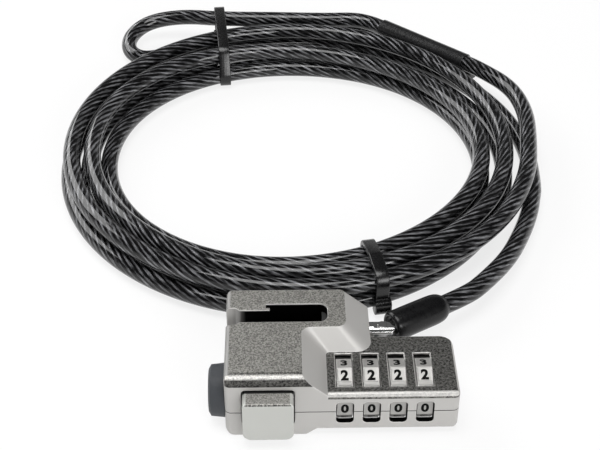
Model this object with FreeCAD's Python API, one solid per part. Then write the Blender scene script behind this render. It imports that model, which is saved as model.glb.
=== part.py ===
import FreeCAD, Part
import math
import os

# Laptop cable lock: combination head, swivel stem, booted steel cable wound up and tied.
# Millimetres, +Z up. The head is drawn from its own left front bottom corner and moved at the end,
# so that the origin is the middle of the lock's footprint.
V = FreeCAD.Vector
X, Y, Z = V(1, 0, 0), V(0, 1, 0), V(0, 0, 1)

# Cable
cable_dia = 5.3
cable_sides = 8

# Die-cast body
body_length = 57.4
body_depth = 33.0
block_height = 18.6
deck_height = 13.2
parting_z = 7.7
foot_step = 2.0
foot_step_x = 21.3
deck_depth = 20.7
top_arm_x = 30.4
top_arm_y = 18.8
top_block_x = 19.0
flank_foot_x = 25.1
flank_arm_x = 36.6
flank_arm_y = 15.3
block_round = 2.3
deck_round = 1.4
block_side_round = 1.1
deck_side_round = 0.8
corner_round = 1.5

# Device slot
slot_y = 20.8
slot_mouth_width = 4.5
slot_width = 6.8
slot_neck = 10.1
slot_length = 25.8
slot_floor = 2.6
slot_end_round = 2.2
mouth_flare = 0.9
mouth_length = 3.5
pad_thickness = 1.4
pad_top = 16.0

# Number wheels and the spindle they turn round
wheel_count = 4
wheel_pitch = 6.55
first_wheel_x = 29.4
wheel_flats = 10
wheel_apothem = 6.85
wheel_width = 4.1
wheel_chamfer = 0.3
axis_y = 8.0
pocket_gap = 0.3
side_gap = 0.2
window_rear_y = 14.8
front_window_z = (3.8, 10.9)
front_window_width = 4.4
front_window_round = 1.2
ring_radius = 5.0
ring_flange = 0.9
counterbore = 3.8
spindle_radius = 2.3
spindle_gap = 0.2
fin_radius = 3.6
fin_width = 1.6
fin_length = 1.2
fin_gap = 0.1
spindle_end_x = 53.6
spindle_travel = 2.4

# End knob
knob_radius = 6.8
knob_taper = 0.94
knob_face_share = 0.79
knob_out = 4.1
knob_in = 0.4
knob_chamfer = 0.6
knob_gap = 0.25
knob_recess = 3.0
knob_socket = 3.4

# Front tab, locking bar and their spring
tab_x = (4.4, 16.8)
tab_z = (2.9, 14.7)
tab_out = 4.5
tab_travel = 4.3
tab_gap = 0.3
tab_top_gap = 0.6
tab_wall = 1.2
tab_face = 1.6
tab_lip = 1.0
tab_lip_depth = 1.0
tab_round = 2.1
tab_edge_round = 0.6
front_wall = 1.2
tab_room_y = 10.8
bar_x = (6.5, 14.6)
bar_z = (10.9, 12.5)
bar_shoulder_y = 9.8
nose_width = 3.0
nose_gap = 0.2
bar_gap = 0.3
pin_radius = 0.8
pin_x = 10.5
pin_gap = 0.1
spring_radius = 1.5
spring_wire = 0.5
spring_turns = 4
spring_room_y = 19.2

# Detent spring behind the wheels
leaf_thickness = 0.3
leaf_gap = 0.1
leaf_z = (3.6, 11.8)
finger_width = 3.0
bump_radius = 0.5

# Shell screws, driven from below
screw_spots = [(3.6, 17.2), (25.0, 30.3), (54.4, 17.5)]
screw_radius = 1.0
screw_head = 1.8
screw_head_height = 1.2
screw_sunk = 0.2
screw_top = 12.0
screw_gap = 0.05

# Swivel stem, its fork and the rivet
stem_y = 28.7
stem_radius = 2.5
stem_collar = 3.4
collar_width = 1.5
stem_inner_x = 30.6
stem_gap = 0.05
collar_gap = 0.1
rivet_x = 40.3
fork_reach = 3.4
fork_slot = 2.0
fork_root = 2.2
fork_flat = 2.2
rivet_radius = 0.9
rivet_head = 1.2
rivet_head_height = 0.3

# Terminal and boot on the cable's end
boot_angle = 30.0
boot_radius = 4.1
boot_start = 3.75
boot_length = 16.4
boot_end_round = 1.6
boot_start_round = 0.8
boot_wall = 1.0
tongue_thickness = 1.8
tongue_radius = 2.0
tongue_gap = 0.05
ferrule_radius = 3.1
ferrule_length = 9.0

# Wound cable: where the pile lies, seen from above
coil_x = 20.0
coil_y = 115.7
coil_turns = 5
layer_height = 5.9
first_station = -15
# inner radius and pitch of the lower layer, then of the upper one, a quarter turn apart
coil_stations = [
    (57.4, 7.0, 57.6, 6.9),
    (53.7, 8.3, 48.9, 15.0),
    (61.6, 5.95, 61.0, 6.35),
    (64.8, 6.6, 60.9, 6.15),
]
climb_start = 720 + 165
lead_in = 1.5
lead_in_turn = 4.0

# Crimp sleeve: its middle as an angle and radius about the coil, and its direction
sleeve_angle = 52.7
sleeve_place = 73.3
sleeve_turn = 137.3
sleeve_length = 36.0
sleeve_wall = 0.45
sleeve_bore_gap = 0.05
sleeve_z = 9.0
tail_out = 3.8
tail_drop = 4.6
tail_end = 1.5

# Cable ties: a point that each goes through and its direction, seen from above
tie_width = 4.7
tie_thickness = 0.9
tie_gap = 0.1
tie_slack = 0.3
front_tie = (37.7, 57.8, -73.0)
rear_tie = (-5.8, 177.7, 95.0)
tie_head_width = 5.8
tie_head_depth = 2.4
tie_head_height = 3.8


def box(x0, x1, y0, y1, z0, z1):
    return Part.makeBox(x1 - x0, y1 - y0, z1 - z0, V(x0, y0, z0))


def rod(radius, length, base, along):
    return Part.makeCylinder(radius, length, base, along)


def corner_loop(corners, place):
    """Closed wire through (a, b, radius) corners, each rounded; place turns (a, b) into a point."""
    n = len(corners)
    cuts = []
    for i in range(n):
        a, b, c = (V(*corners[(i + k) % n][:2], 0) for k in (-1, 0, 1))
        u, w = (a - b).normalize(), (c - b).normalize()
        half = u.getAngle(w) / 2
        radius = corners[i][2]
        reach = radius / math.tan(half) if radius else 0
        bulge = b + (u + w).normalize() * (radius / math.sin(half) - radius) if radius else b
        cuts.append((b + u * reach, bulge, b + w * reach, radius))
    edges = []
    for i, (start, middle, end, radius) in enumerate(cuts):
        if radius:
            edges.append(Part.Arc(place(start), place(middle), place(end)).toShape())
        following = cuts[(i + 1) % n][0]
        if (following - end).Length > 1e-6:
            edges.append(Part.LineSegment(place(end), place(following)).toShape())
    return Part.Wire(edges)


def plan(corners, z0, z1):
    wire = corner_loop(corners, lambda p: V(p.x, p.y, z0))
    return Part.Face(wire).extrude(V(0, 0, z1 - z0))


def front_view(corners, y0, y1):
    wire = corner_loop(corners, lambda p: V(p.x, y0, p.y))
    return Part.Face(wire).extrude(V(0, y1 - y0, 0))


def turned(outline, base, along):
    """Solid of revolution of (distance along the axis, radius) points."""
    points = [V(0, r, a) for a, r in outline]
    wire = Part.makePolygon(points + points[:1])
    solid = Part.Face(wire).revolve(V(0, 0, 0), Z, 360)
    solid.rotate(V(0, 0, 0), Z.cross(along) if Z.cross(along).Length > 1e-9 else X,
                 math.degrees(Z.getAngle(along)))
    solid.translate(base)
    return solid


def edge_round(radius, y, z, x0, x1):
    """What a rounded upper front edge takes away."""
    waste = box(x0, x1, y - 1, y + radius, z - radius, z + 1)
    return waste.cut(rod(radius, x1 - x0, V(x0, y + radius, z - radius), X))


def side_round(radius, x, z, inward, depth):
    """What a rounded upper side edge takes away; inward is 1 on the left side and -1 on the right."""
    near, far = sorted((x - inward, x + inward * radius))
    waste = box(near, far, -1, depth + 1, z - radius, z + 1)
    return waste.cut(rod(radius, depth + 2, V(x + inward * radius, -1, z - radius), Y))


def body_block():
    round_ = corner_round
    foot = [(0, 0, round_), (body_length, 0, round_), (body_length, deck_depth, 3.5),
            (flank_arm_x, deck_depth, 0.8), (flank_arm_x, body_depth, round_), (0, body_depth, round_)]
    block = plan(foot, 0, deck_height)
    top = [(0, 0, round_), (top_block_x, 0, 0), (top_block_x, top_arm_y, 2.5),
           (top_arm_x, top_arm_y, 2.5), (top_arm_x, body_depth, round_), (0, body_depth, round_)]
    flank = [(0, 0, round_), (flank_foot_x, 0, 0), (flank_foot_x, flank_arm_y, 1.0),
             (flank_arm_x, flank_arm_y, 3.7), (flank_arm_x, body_depth, round_),
             (0, body_depth, round_)]
    low = corner_loop(flank, lambda p: V(p.x, p.y, deck_height))
    high = corner_loop(top, lambda p: V(p.x, p.y, block_height))
    block = block.fuse(Part.makeLoft([low, high], True, True))
    sides = [(0, 0, 2.5), (foot_step_x - 1.3, 0, 1.2), (foot_step_x + 1.3, foot_step, 1.2),
             (body_length, foot_step, 1.2), (body_length, 40, 0), (0, 40, 0)]
    block = block.common(front_view(sides, -1, body_depth + 1))
    block = block.cut(edge_round(block_round, 0, block_height, -1, flank_foot_x))
    block = block.cut(edge_round(deck_round, 0, deck_height, flank_foot_x, body_length + 1))
    block = block.cut(side_round(block_side_round, 0, block_height, 1, body_depth))
    block = block.cut(side_round(deck_side_round, body_length, deck_height, -1, deck_depth))
    return block.removeSplitter()


def slot_room():
    rear = slot_y + slot_mouth_width
    wide = slot_y + slot_width
    line = [(-1, slot_y, 0), (slot_length, slot_y, slot_end_round), (slot_length, wide, slot_end_round),
            (slot_neck, wide, 0), (slot_neck, rear, 0), (-1, rear, 0)]
    room = plan(line, slot_floor, block_height + 1)
    mouth = [(-1, slot_y - mouth_flare, 0), (mouth_length * 0.7, slot_y - mouth_flare, 0),
             (mouth_length, slot_y, 0), (mouth_length, rear, 0),
             (mouth_length * 0.7, rear + mouth_flare, 0), (-1, rear + mouth_flare, 0)]
    nub = box(slot_neck, slot_neck + 1.0, rear, rear + 0.8, slot_floor, block_height)
    return room.cut(nub).fuse(plan(mouth, slot_floor, block_height + 1))


def slot_pad():
    rear = slot_y + slot_width
    line = [(slot_length - pad_thickness, slot_y, 0), (slot_length, slot_y, slot_end_round),
            (slot_length, rear, slot_end_round), (slot_length - pad_thickness, rear, 0)]
    pad = plan(line, slot_floor, pad_top)
    keep = box(slot_length - pad_thickness, slot_length, slot_y + 0.3, rear - 0.3, 0, 40)
    return pad.common(keep)


def wheel_x(i):
    return first_wheel_x + wheel_pitch * i


def wheel_axis(x):
    return V(x, axis_y, parting_z)


def wheel_tip():
    return wheel_apothem / math.cos(math.pi / wheel_flats)


def wheel_room(i):
    half = wheel_width / 2 + side_gap
    x0, x1 = wheel_x(i) - half, wheel_x(i) + half
    radius = wheel_tip() + pocket_gap
    room = rod(radius, x1 - x0, wheel_axis(x0), X)
    room = room.fuse(box(x0, x1, axis_y, window_rear_y, parting_z, 40))
    half = front_window_width / 2
    low, high = front_window_z
    r = front_window_round
    ring = [(wheel_x(i) - half, low, r), (wheel_x(i) + half, low, r),
            (wheel_x(i) + half, high, r), (wheel_x(i) - half, high, r)]
    return room.fuse(front_view(ring, -1, 3))


def number_wheel(i):
    half = wheel_width / 2
    tip = wheel_tip()
    step = 2 * math.pi / wheel_flats
    points = [V(wheel_x(i) - half, axis_y + tip * math.cos(step * (k + 0.5)),
                parting_z + tip * math.sin(step * (k + 0.5))) for k in range(wheel_flats)]
    wheel = Part.Face(Part.makePolygon(points + points[:1])).extrude(V(wheel_width, 0, 0))
    wheel = wheel.makeChamfer(wheel_chamfer, [e for e in wheel.Edges if e.BoundBox.XLength < 1e-3])
    return wheel.cut(rod(ring_radius, wheel_width, wheel_axis(wheel_x(i) - half), X))


def key_way(x0, x1, radius, width):
    """Upward slot beside the spindle, where a fin goes through."""
    return box(x0, x1, axis_y - width / 2, axis_y + width / 2, parting_z, parting_z + radius)


def code_ring(i):
    x0 = wheel_x(i) - wheel_width / 2
    x1 = x0 + wheel_width
    ring = rod(ring_radius, wheel_width, wheel_axis(x0), X)
    ring = ring.cut(rod(spindle_radius + spindle_gap, wheel_width, wheel_axis(x0), X))
    ring = ring.cut(rod(counterbore, wheel_width - ring_flange, wheel_axis(x0 + ring_flange), X))
    return ring.cut(key_way(x0, x1, counterbore, fin_width + 2 * fin_gap))


def fin_start(i):
    return wheel_x(i) - wheel_width / 2 - fin_gap - fin_length


def spindle():
    x0 = knob_in - knob_socket
    bar = rod(spindle_radius, spindle_end_x - x0, wheel_axis(x0), X)
    for i in range(wheel_count):
        fin = key_way(fin_start(i), fin_start(i) + fin_length, fin_radius, fin_width)
        bar = bar.fuse(fin)
    return bar.cut(spindle_pin())


def spindle_pin():
    foot = parting_z + spindle_radius - 1.6
    return rod(pin_radius, bar_z[1] - 0.2 - foot, V(pin_x, axis_y, foot), Z)


def end_knob():
    length = knob_out + knob_in
    r = knob_radius
    shape = turned([(0, 0), (0, r * knob_face_share), (knob_chamfer, r * knob_taper), (length, r), (length, 0)],
                   wheel_axis(-knob_out), X)
    dish = rod(r - 1.8, 0.3, wheel_axis(-knob_out), X)
    shape = shape.cut(dish)
    return shape.cut(rod(spindle_radius, knob_socket, wheel_axis(knob_in - knob_socket), X))


def front_tab():
    (x0, x1), (z0, z1) = tab_x, tab_z
    r = tab_round
    rear = front_wall + 0.1 + tab_lip_depth
    face = [(x0, z0, r), (x1, z0, r), (x1, z1, 0.8), (x0, z1, 0.8)]
    tab = front_view(face, -tab_out, rear)
    tab = tab.cut(edge_round(tab_edge_round, -tab_out, z1, x0 - 1, x1 + 1))
    lips = box(x0 + r, x1 - r, rear - tab_lip_depth, rear, z0 - tab_lip, z1 + tab_lip)
    inside = box(x0 + tab_wall, x1 - tab_wall, tab_face - tab_out, rear + 1, z0 + tab_wall, z1 - tab_wall)
    gate = spindle_radius + 0.4
    gate_y = axis_y - spindle_radius - tab_travel - 0.4
    passage = box(x0 - 1, x1 + 1, gate_y, rear + 1, parting_z - gate, parting_z + gate)
    return tab.fuse(lips).cut(inside).cut(passage).removeSplitter()


def cam_slope():
    return V(spindle_travel, -tab_travel, 0)


def locking_bar():
    y0 = tab_face - tab_out
    nose_end = slot_y - 0.2
    nose_x = bar_x[0] + nose_width
    line = [(bar_x[0], y0, 0), (bar_x[1], y0, 0), (bar_x[1], bar_shoulder_y, 0.8),
            (nose_x, bar_shoulder_y, 0.4), (nose_x, nose_end, 0.6), (bar_x[0], nose_end, 0.6)]
    bar = plan(line, *bar_z)
    radius = pin_radius + pin_gap
    start = V(pin_x, axis_y, bar_z[0])
    along = cam_slope()
    side = V(-along.y, along.x, 0).normalize() * radius
    corners = [start + side, start + along + side, start + along - side, start - side]
    track = Part.Face(Part.makePolygon(corners + corners[:1])).extrude(V(0, 0, bar_z[1] - bar_z[0]))
    for spot in (start, start + along):
        track = track.fuse(rod(radius, bar_z[1] - bar_z[0], spot, Z))
    return bar.cut(track)


def spring_axis():
    return ((bar_x[0] + nose_width + bar_x[1]) / 2, (bar_z[0] + bar_z[1]) / 2)


def tab_spring():
    """Wire of square section, wound in half turns along the tab's travel."""
    x, z = spring_axis()
    half = spring_wire / 2
    first = bar_shoulder_y + half + 0.05
    rise = (spring_room_y - half - 0.05 - first) / (2 * spring_turns)
    centre = V(x, 0, z)
    edges = []
    for k in range(2 * spring_turns):
        y = first + rise * k
        side = -1 if k % 2 else 1
        edges.append(Part.Arc(centre + V(side * spring_radius, y, 0),
                              centre + V(0, y + rise / 2, side * spring_radius),
                              centre + V(-side * spring_radius, y + rise, 0)).toShape())
    start = centre + V(spring_radius, first, 0)
    corners = [start + X * a * half + Y * b * half for a, b in ((1, 1), (-1, 1), (-1, -1), (1, -1), (1, 1))]
    return Part.Wire(edges).makePipeShell([Part.Wire(Part.makePolygon(corners))], True, True)


def tab_room():
    (x0, x1), (z0, z1) = tab_x, tab_z
    g = tab_gap
    top = z1 + tab_top_gap
    hole = [(x0 - g, z0 - g, tab_round), (x1 + g, z0 - g, tab_round), (x1 + g, top, 1.0), (x0 - g, top, 1.0)]
    room = front_view(hole, -1, front_wall)
    lip = tab_lip + g
    room = room.fuse(box(x0 - g, x1 + g, front_wall, tab_room_y, z0 - lip, z1 + lip))
    run = box(bar_x[0] - bar_gap, bar_x[1] + bar_gap, tab_room_y, bar_shoulder_y + tab_travel + bar_gap,
              bar_z[0] - bar_gap, bar_z[1] + bar_gap)
    g = nose_gap
    nose = box(bar_x[0] - g, bar_x[0] + nose_width + g, tab_room_y, slot_y + 1, bar_z[0] - g, bar_z[1] + g)
    x, z = spring_axis()
    seat = rod(spring_radius + spring_wire / 2 + 0.2, spring_room_y - tab_room_y, V(x, tab_room_y, z), Y)
    return room.fuse(run).fuse(nose).fuse(seat)


def knob_room():
    recess = rod(knob_radius + knob_gap, knob_recess + 1, wheel_axis(-1), X)
    bore_end = spindle_end_x + spindle_travel + 0.6
    bore = rod(spindle_radius + spindle_gap, bore_end, wheel_axis(0), X)
    last = fin_start(wheel_count - 1) + fin_length + spindle_travel + 0.3
    fins = key_way(fin_start(0) - 0.4, last, fin_radius + 0.3, fin_width + 0.4)
    return recess.fuse(bore).fuse(fins)


def leaf_place():
    y = axis_y + wheel_tip() + 0.1
    x0 = wheel_x(0) - wheel_width / 2 - 1.4
    x1 = wheel_x(wheel_count - 1) + wheel_width / 2 + 1.4
    return x0, x1, y


def detent_spring():
    x0, x1, y = leaf_place()
    y += bump_radius
    leaf = box(x0, x1, y, y + leaf_thickness, *leaf_z)
    top = leaf_z[1] - 1.6
    for i in range(wheel_count):
        half = finger_width / 2
        for side in (-1, 1):
            cut_x = wheel_x(i) + side * half
            leaf = leaf.cut(box(cut_x - 0.25, cut_x + 0.25, y - 1, y + 1, leaf_z[0] - 1, top))
        bump = rod(bump_radius, finger_width - 0.6, V(wheel_x(i) - half + 0.3, y + 0.1, parting_z), X)
        bump = bump.common(box(x0, x1, y - 2, y + 0.1, 0, 20))
        leaf = leaf.fuse(bump)
    return leaf


def leaf_room():
    x0, x1, y = leaf_place()
    g = leaf_gap
    low, high = leaf_z
    return box(x0 - g, x1 + g, axis_y, y + bump_radius + leaf_thickness + g, low - g, high + g)


def screw_floor(x):
    return foot_step if x > foot_step_x else 0


def screws(gap=0.0):
    solids = []
    for x, y in screw_spots:
        z = screw_floor(x) + screw_sunk
        base = z - (2 if gap else 0)
        head = rod(screw_head + gap * 2, z + screw_head_height - base, V(x, y, base), Z)
        shank = rod(screw_radius + gap, screw_top + gap - z, V(x, y, z), Z)
        solids.append(head.fuse(shank).removeSplitter())
    return solids


def shell_screws():
    solids = []
    for (x, y), screw in zip(screw_spots, screws()):
        z = screw_floor(x) + screw_sunk
        cross = box(x - 1.1, x + 1.1, y - 0.25, y + 0.25, z - 1, z + 0.6)
        cross = cross.fuse(box(x - 0.25, x + 0.25, y - 1.1, y + 1.1, z - 1, z + 0.6))
        solids.append(screw.cut(cross))
    return Part.makeCompound(solids)


def stem_axis(x):
    return V(x, stem_y, parting_z)


def stem_room():
    bore = rod(stem_radius + stem_gap, flank_arm_x + 1 - stem_inner_x + 0.2, stem_axis(stem_inner_x - 0.2), X)
    x0 = stem_inner_x + 0.4
    groove = rod(stem_collar + collar_gap, collar_width + 2 * collar_gap, stem_axis(x0 - collar_gap), X)
    return bore.fuse(groove)


def swivel_stem():
    end = rivet_x + fork_reach
    stem = rod(stem_radius, end - stem_inner_x, stem_axis(stem_inner_x), X)
    stem = stem.fuse(rod(stem_collar, collar_width, stem_axis(stem_inner_x + 0.4), X))
    r = fork_reach
    wide = stem_radius + 0.1
    cheeks = [(stem_inner_x - 1, stem_y - stem_collar - 1, 0), (flank_arm_x + 0.3, stem_y - stem_collar - 1, 0),
              (flank_arm_x + 0.3, stem_y - wide, 0), (end, stem_y - wide, r * 0.7),
              (end, stem_y + wide, r * 0.7), (flank_arm_x + 0.3, stem_y + wide, 0),
              (flank_arm_x + 0.3, stem_y + stem_collar + 1, 0), (stem_inner_x - 1, stem_y + stem_collar + 1, 0)]
    stem = stem.common(plan(cheeks, 0, 20))
    root = rivet_x - fork_root
    gap = fork_slot / 2
    stem = stem.cut(box(root, end + 1, stem_y - 5, stem_y + 5, parting_z - gap, parting_z + gap))
    for side in (-1, 1):
        z0 = parting_z + side * fork_flat
        flat = box(root, end + 1, stem_y - 5, stem_y + 5, min(z0, z0 + side * 3), max(z0, z0 + side * 3))
        stem = stem.cut(flat)
    return stem.cut(rod(rivet_radius, 20, V(rivet_x, stem_y, 0), Z))


def pivot_rivet():
    base = parting_z - fork_flat
    body = rod(rivet_radius, 2 * fork_flat, V(rivet_x, stem_y, base), Z)
    for z in (base - rivet_head_height, parting_z + fork_flat):
        body = body.fuse(rod(rivet_head, rivet_head_height, V(rivet_x, stem_y, z), Z))
    return body


def boot_along():
    a = math.radians(boot_angle)
    return V(math.cos(a), math.sin(a), 0)


def boot_point(distance):
    return V(rivet_x, stem_y, parting_z) + boot_along() * distance


def cable_terminal():
    along = boot_along()
    side = V(-along.y, along.x, 0)
    pivot = boot_point(0) - Z * tongue_thickness / 2
    length = boot_start + boot_wall + 1.0
    corners = [pivot + side * tongue_radius, pivot + along * length + side * tongue_radius,
               pivot + along * length - side * tongue_radius, pivot - side * tongue_radius]
    tongue = Part.Face(Part.makePolygon(corners + corners[:1])).extrude(Z * tongue_thickness)
    tongue = tongue.fuse(rod(tongue_radius, tongue_thickness, pivot, Z))
    ferrule = rod(ferrule_radius, ferrule_length, boot_point(boot_start + boot_wall), along)
    tongue = tongue.fuse(ferrule)
    return tongue.cut(rod(rivet_radius + tongue_gap, 20, V(rivet_x, stem_y, 0), Z))


def cable_boot():
    r, n, e = boot_radius, boot_start_round, boot_end_round
    length = boot_length
    a, b = n * 0.3, e * 0.3
    outline = [(0, 0), (0, r - n), (a, r - a), (n, r), (length - 4, r), (length - e, r - 0.35),
               (length - b, r - 0.35 - b * 1.6), (length, r - 0.35 - e), (length, 0)]
    boot = turned(outline, boot_point(boot_start), boot_along())
    boot = boot.cut(rod(ferrule_radius, ferrule_length, boot_point(boot_start + boot_wall), boot_along()))
    along = boot_along()
    side = V(-along.y, along.x, 0) * (tongue_radius + 0.02)
    base = boot_point(boot_start - 1) - Z * (tongue_thickness / 2 + 0.02)
    corners = [base + side, base + along * 3 + side, base + along * 3 - side, base - side]
    slit = Part.Face(Part.makePolygon(corners + corners[:1])).extrude(Z * (tongue_thickness + 0.04))
    return boot.cut(slit)


def section(start, along, radius, sides):
    """Flat-sided ring round a path's start, with one side down."""
    across = along.cross(Z).normalize()
    up = across.cross(along)
    turns = [2 * math.pi * (k + 0.5) / sides for k in range(sides + 1)]
    return Part.Wire(Part.makePolygon(
        [start + (across * math.sin(t) + up * math.cos(t)) * radius for t in turns]))


def section_area(radius, sides):
    return sides / 2 * radius ** 2 * math.sin(2 * math.pi / sides)


def rounded_route(points):
    """Straight runs through the points joined by tangent arcs: the edges and the arcs' radii."""
    edges = []
    radii = []
    here = points[0]
    for last, corner, following in zip(points, points[1:], points[2:]):
        back, ahead = last - corner, following - corner
        half_turn = (math.pi - back.getAngle(ahead)) / 2
        reach = 0.45 * min(back.Length, ahead.Length)
        bend = reach / math.tan(half_turn)
        back.normalize()
        ahead.normalize()
        start, end = corner + back * reach, corner + ahead * reach
        inward = (back + ahead).normalize()
        middle = corner + inward * (bend / math.cos(half_turn) - bend)
        edges.append(Part.LineSegment(here, start).toShape())
        edges.append(Part.Arc(start, middle, end).toShape())
        radii.append(bend)
        here = end
    edges.append(Part.LineSegment(here, points[-1]).toShape())
    return edges, radii


def routed(name, points, before=0.0, after=0.0):
    """Cable along a route, with straight ends; prints its arcs' radii and compares its volume."""
    edges, radii = rounded_route(points)
    first, last = points[0], points[-1]
    out = (first - points[1]).normalize()
    on = (last - points[-2]).normalize()
    if before:
        edges.insert(0, Part.LineSegment(first + out * before, first).toShape())
    if after:
        edges.append(Part.LineSegment(last, last + on * after).toShape())
    path = Part.Wire(edges)
    ring = section(first + out * before, -out, cable_dia / 2, cable_sides)
    tube = path.makePipeShell([ring], True, False)
    told = section_area(cable_dia / 2, cable_sides) * path.Length
    print("%s: length %.1f, radii %s, volume %.4f of section times length"
          % (name, path.Length, " ".join("%.1f" % r for r in radii), tube.Volume / told))
    return tube, path.Length


def slope(back, ahead):
    return 2 * back * ahead / (back + ahead) if back * ahead > 0 else 0


def station(angle, column):
    """Smooth value round the coil, from the four stations a quarter turn apart."""
    place = (angle - first_station) / 90
    k = math.floor(place)
    u = place - k
    before, here, there, after = (coil_stations[(k + j) % 4][column] for j in (-1, 0, 1, 2))
    m0, m1 = slope(here - before, there - here), slope(there - here, after - there)
    return (here * (2 * u ** 3 - 3 * u ** 2 + 1) + m0 * (u ** 3 - 2 * u ** 2 + u)
            + there * (3 * u ** 2 - 2 * u ** 3) + m1 * (u ** 3 - u ** 2))


def low_layer():
    """Height of the lower layer's centreline, on the ties' bands."""
    return tie_thickness + tie_gap + cable_dia / 2


def coil_point(angle):
    """The lower layer winds inward, climbs in a half turn, and the upper layer winds outward."""
    low = station(angle, 0) + station(angle, 1) * (2 - angle / 360)
    high = station(angle, 2) + station(angle, 3) * (angle / 360 - 3)
    u = min(1, max(0, (angle - climb_start) / 180))
    rise = u * u * (3 - 2 * u)
    radius = low + (high - low) * rise
    a = math.radians(angle)
    z = low_layer() + layer_height * rise
    return V(coil_x + radius * math.cos(a), coil_y + radius * math.sin(a), z)


def sleeve_along():
    a = math.radians(sleeve_turn)
    return V(math.cos(a), math.sin(a), 0)


def sleeve_entry():
    a = math.radians(sleeve_angle)
    middle = V(coil_x + sleeve_place * math.cos(a), coil_y + sleeve_place * math.sin(a), sleeve_z)
    return middle - sleeve_along() * sleeve_length / 2


def coil_nodes():
    """Point and direction at every quarter turn, then at the crimp sleeve."""
    nodes = []
    for k in range(coil_turns * 4 + 1):
        angle = first_station + 90 * k
        nodes.append((coil_point(angle), (coil_point(angle + 0.5) - coil_point(angle - 0.5)).normalize()))
    a = math.radians(first_station)
    t = a + math.radians(90 + lead_in_turn)
    nodes[0] = (nodes[0][0] + V(math.cos(a), math.sin(a), 0) * lead_in, V(math.cos(t), math.sin(t), 0))
    nodes.append((sleeve_entry() - sleeve_along() * cable_dia, sleeve_along()))
    return nodes


def coil_start():
    first, direction = coil_nodes()[0]
    return first - direction * cable_dia, direction


def arc_from(start, direction, end):
    chord = end - start
    half = chord.getAngle(direction)
    u = V(chord).normalize()
    bulge = (direction - u * u.dot(direction)).normalize()
    radius = chord.Length / (2 * math.sin(half))
    middle = (start + end) / 2 + bulge * (radius - radius * math.cos(half))
    return Part.Arc(start, middle, end), radius


def coil_arcs():
    arcs = []
    nodes = coil_nodes()
    for (p0, t0), (p1, t1) in zip(nodes, nodes[1:]):
        v = p1 - p0
        along = v.dot(t0 + t1)
        bend = 2 * (1 - t0.dot(t1))
        reach = (math.sqrt(along ** 2 + bend * v.dot(v)) - along) / bend
        meet = (p0 + t0 * reach + p1 - t1 * reach) / 2
        arcs.append(arc_from(p0, t0, meet))
        arcs.append(arc_from(meet, (p1 - t1 * reach - meet).normalize(), p1))
    return arcs


def cable_coil():
    arcs = coil_arcs()
    start, direction = coil_start()
    first, last = coil_nodes()[0][0], coil_nodes()[-1][0]
    edges = [Part.LineSegment(start, first).toShape()]
    edges += [arc.toShape() for arc, radius in arcs]
    edges.append(Part.LineSegment(last, sleeve_entry()).toShape())
    path = Part.Wire(edges)
    ring = section(start, direction, cable_dia / 2, cable_sides)
    tube = path.makePipeShell([ring], True, False)
    length = path.Length
    told = section_area(cable_dia / 2, cable_sides) * length
    points = [edge.valueAt(edge.FirstParameter + (edge.LastParameter - edge.FirstParameter) * k / 12)
              for edge in path.OrderedEdges for k in range(12)]
    quarter = 24
    gap = min((points[i] - points[j]).Length for i in range(len(points))
              for j in range(i + 2 * quarter, len(points)))
    print("cable_coil: length %.1f, least radius %.1f, volume %.4f of section times length, least gap %.2f"
          % (length, min(radius for arc, radius in arcs), tube.Volume / told, gap - cable_dia))
    return tube, length


def lead_points():
    start, direction = coil_start()
    exit_point = boot_point(boot_start + boot_length)
    return [exit_point, exit_point + boot_along() * 7.5, V(69.6, 48.6, 6.8), V(78.6, 61.2, 5.2),
            V(85.0, 75.4, start.z + 0.3), start - direction * 7, start]


def tail_offset():
    along = sleeve_along()
    return V(along.y, -along.x, 0) * tail_out - Z * tail_drop


def eye_points():
    """From the sleeve's far face along the outer side, round the eye and back below."""
    away = sleeve_entry() + sleeve_along() * sleeve_length
    back = away + tail_offset()
    low = low_layer()
    high = low + layer_height
    return [away, away + sleeve_along() * 5, V(41.5, 191.6, high), V(31.0, 191.2, high), V(12.0, 192.5, high - 0.1),
            V(-6.5, 192.9, high), V(-21.0, 197.3, high - 1.2), V(-33.5, 197.0, low + 2.6),
            V(-39.8, 189.6, low + 0.6), V(-39.0, 179.4, low), V(-32.0, 174.4, low), V(-20.0, 181.8, low),
            V(-3.0, 189.0, low), V(17.0, 192.7, low), V(33.0, 193.4, low), V(44.5, 194.4, low + 0.4),
            back + sleeve_along() * 5, back]


def crimp_sleeve():
    along = sleeve_along()
    start = sleeve_entry()
    offset = tail_offset()
    radius = cable_dia / 2 + sleeve_wall
    across = V(offset).normalize()
    up = across.cross(along)
    a, b = start + up * radius, start + offset + up * radius
    c, d = start + offset - up * radius, start - up * radius
    wire = Part.Wire([
        Part.LineSegment(a, b).toShape(),
        Part.Arc(b, start + offset + across * radius, c).toShape(),
        Part.LineSegment(c, d).toShape(),
        Part.Arc(d, start - across * radius, a).toShape(),
    ])
    sleeve = Part.Face(wire).extrude(along * sleeve_length)
    for axis in (start, start + offset):
        sleeve = sleeve.cut(rod(cable_dia / 2 + sleeve_bore_gap, sleeve_length, axis, along))
    return sleeve


def hull(points):
    """Corners of the convex outline round points, counterclockwise."""
    points = sorted(set(points))

    def chain(ordered):
        kept = []
        for p in ordered:
            while len(kept) > 1:
                (ax, ay), (bx, by) = kept[-2:]
                if (bx - ax) * (p[1] - ay) - (by - ay) * (p[0] - ax) > 1e-9:
                    break
                kept.pop()
            kept.append(p)
        return kept

    return chain(points)[:-1] + chain(points[::-1])[:-1]


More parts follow.
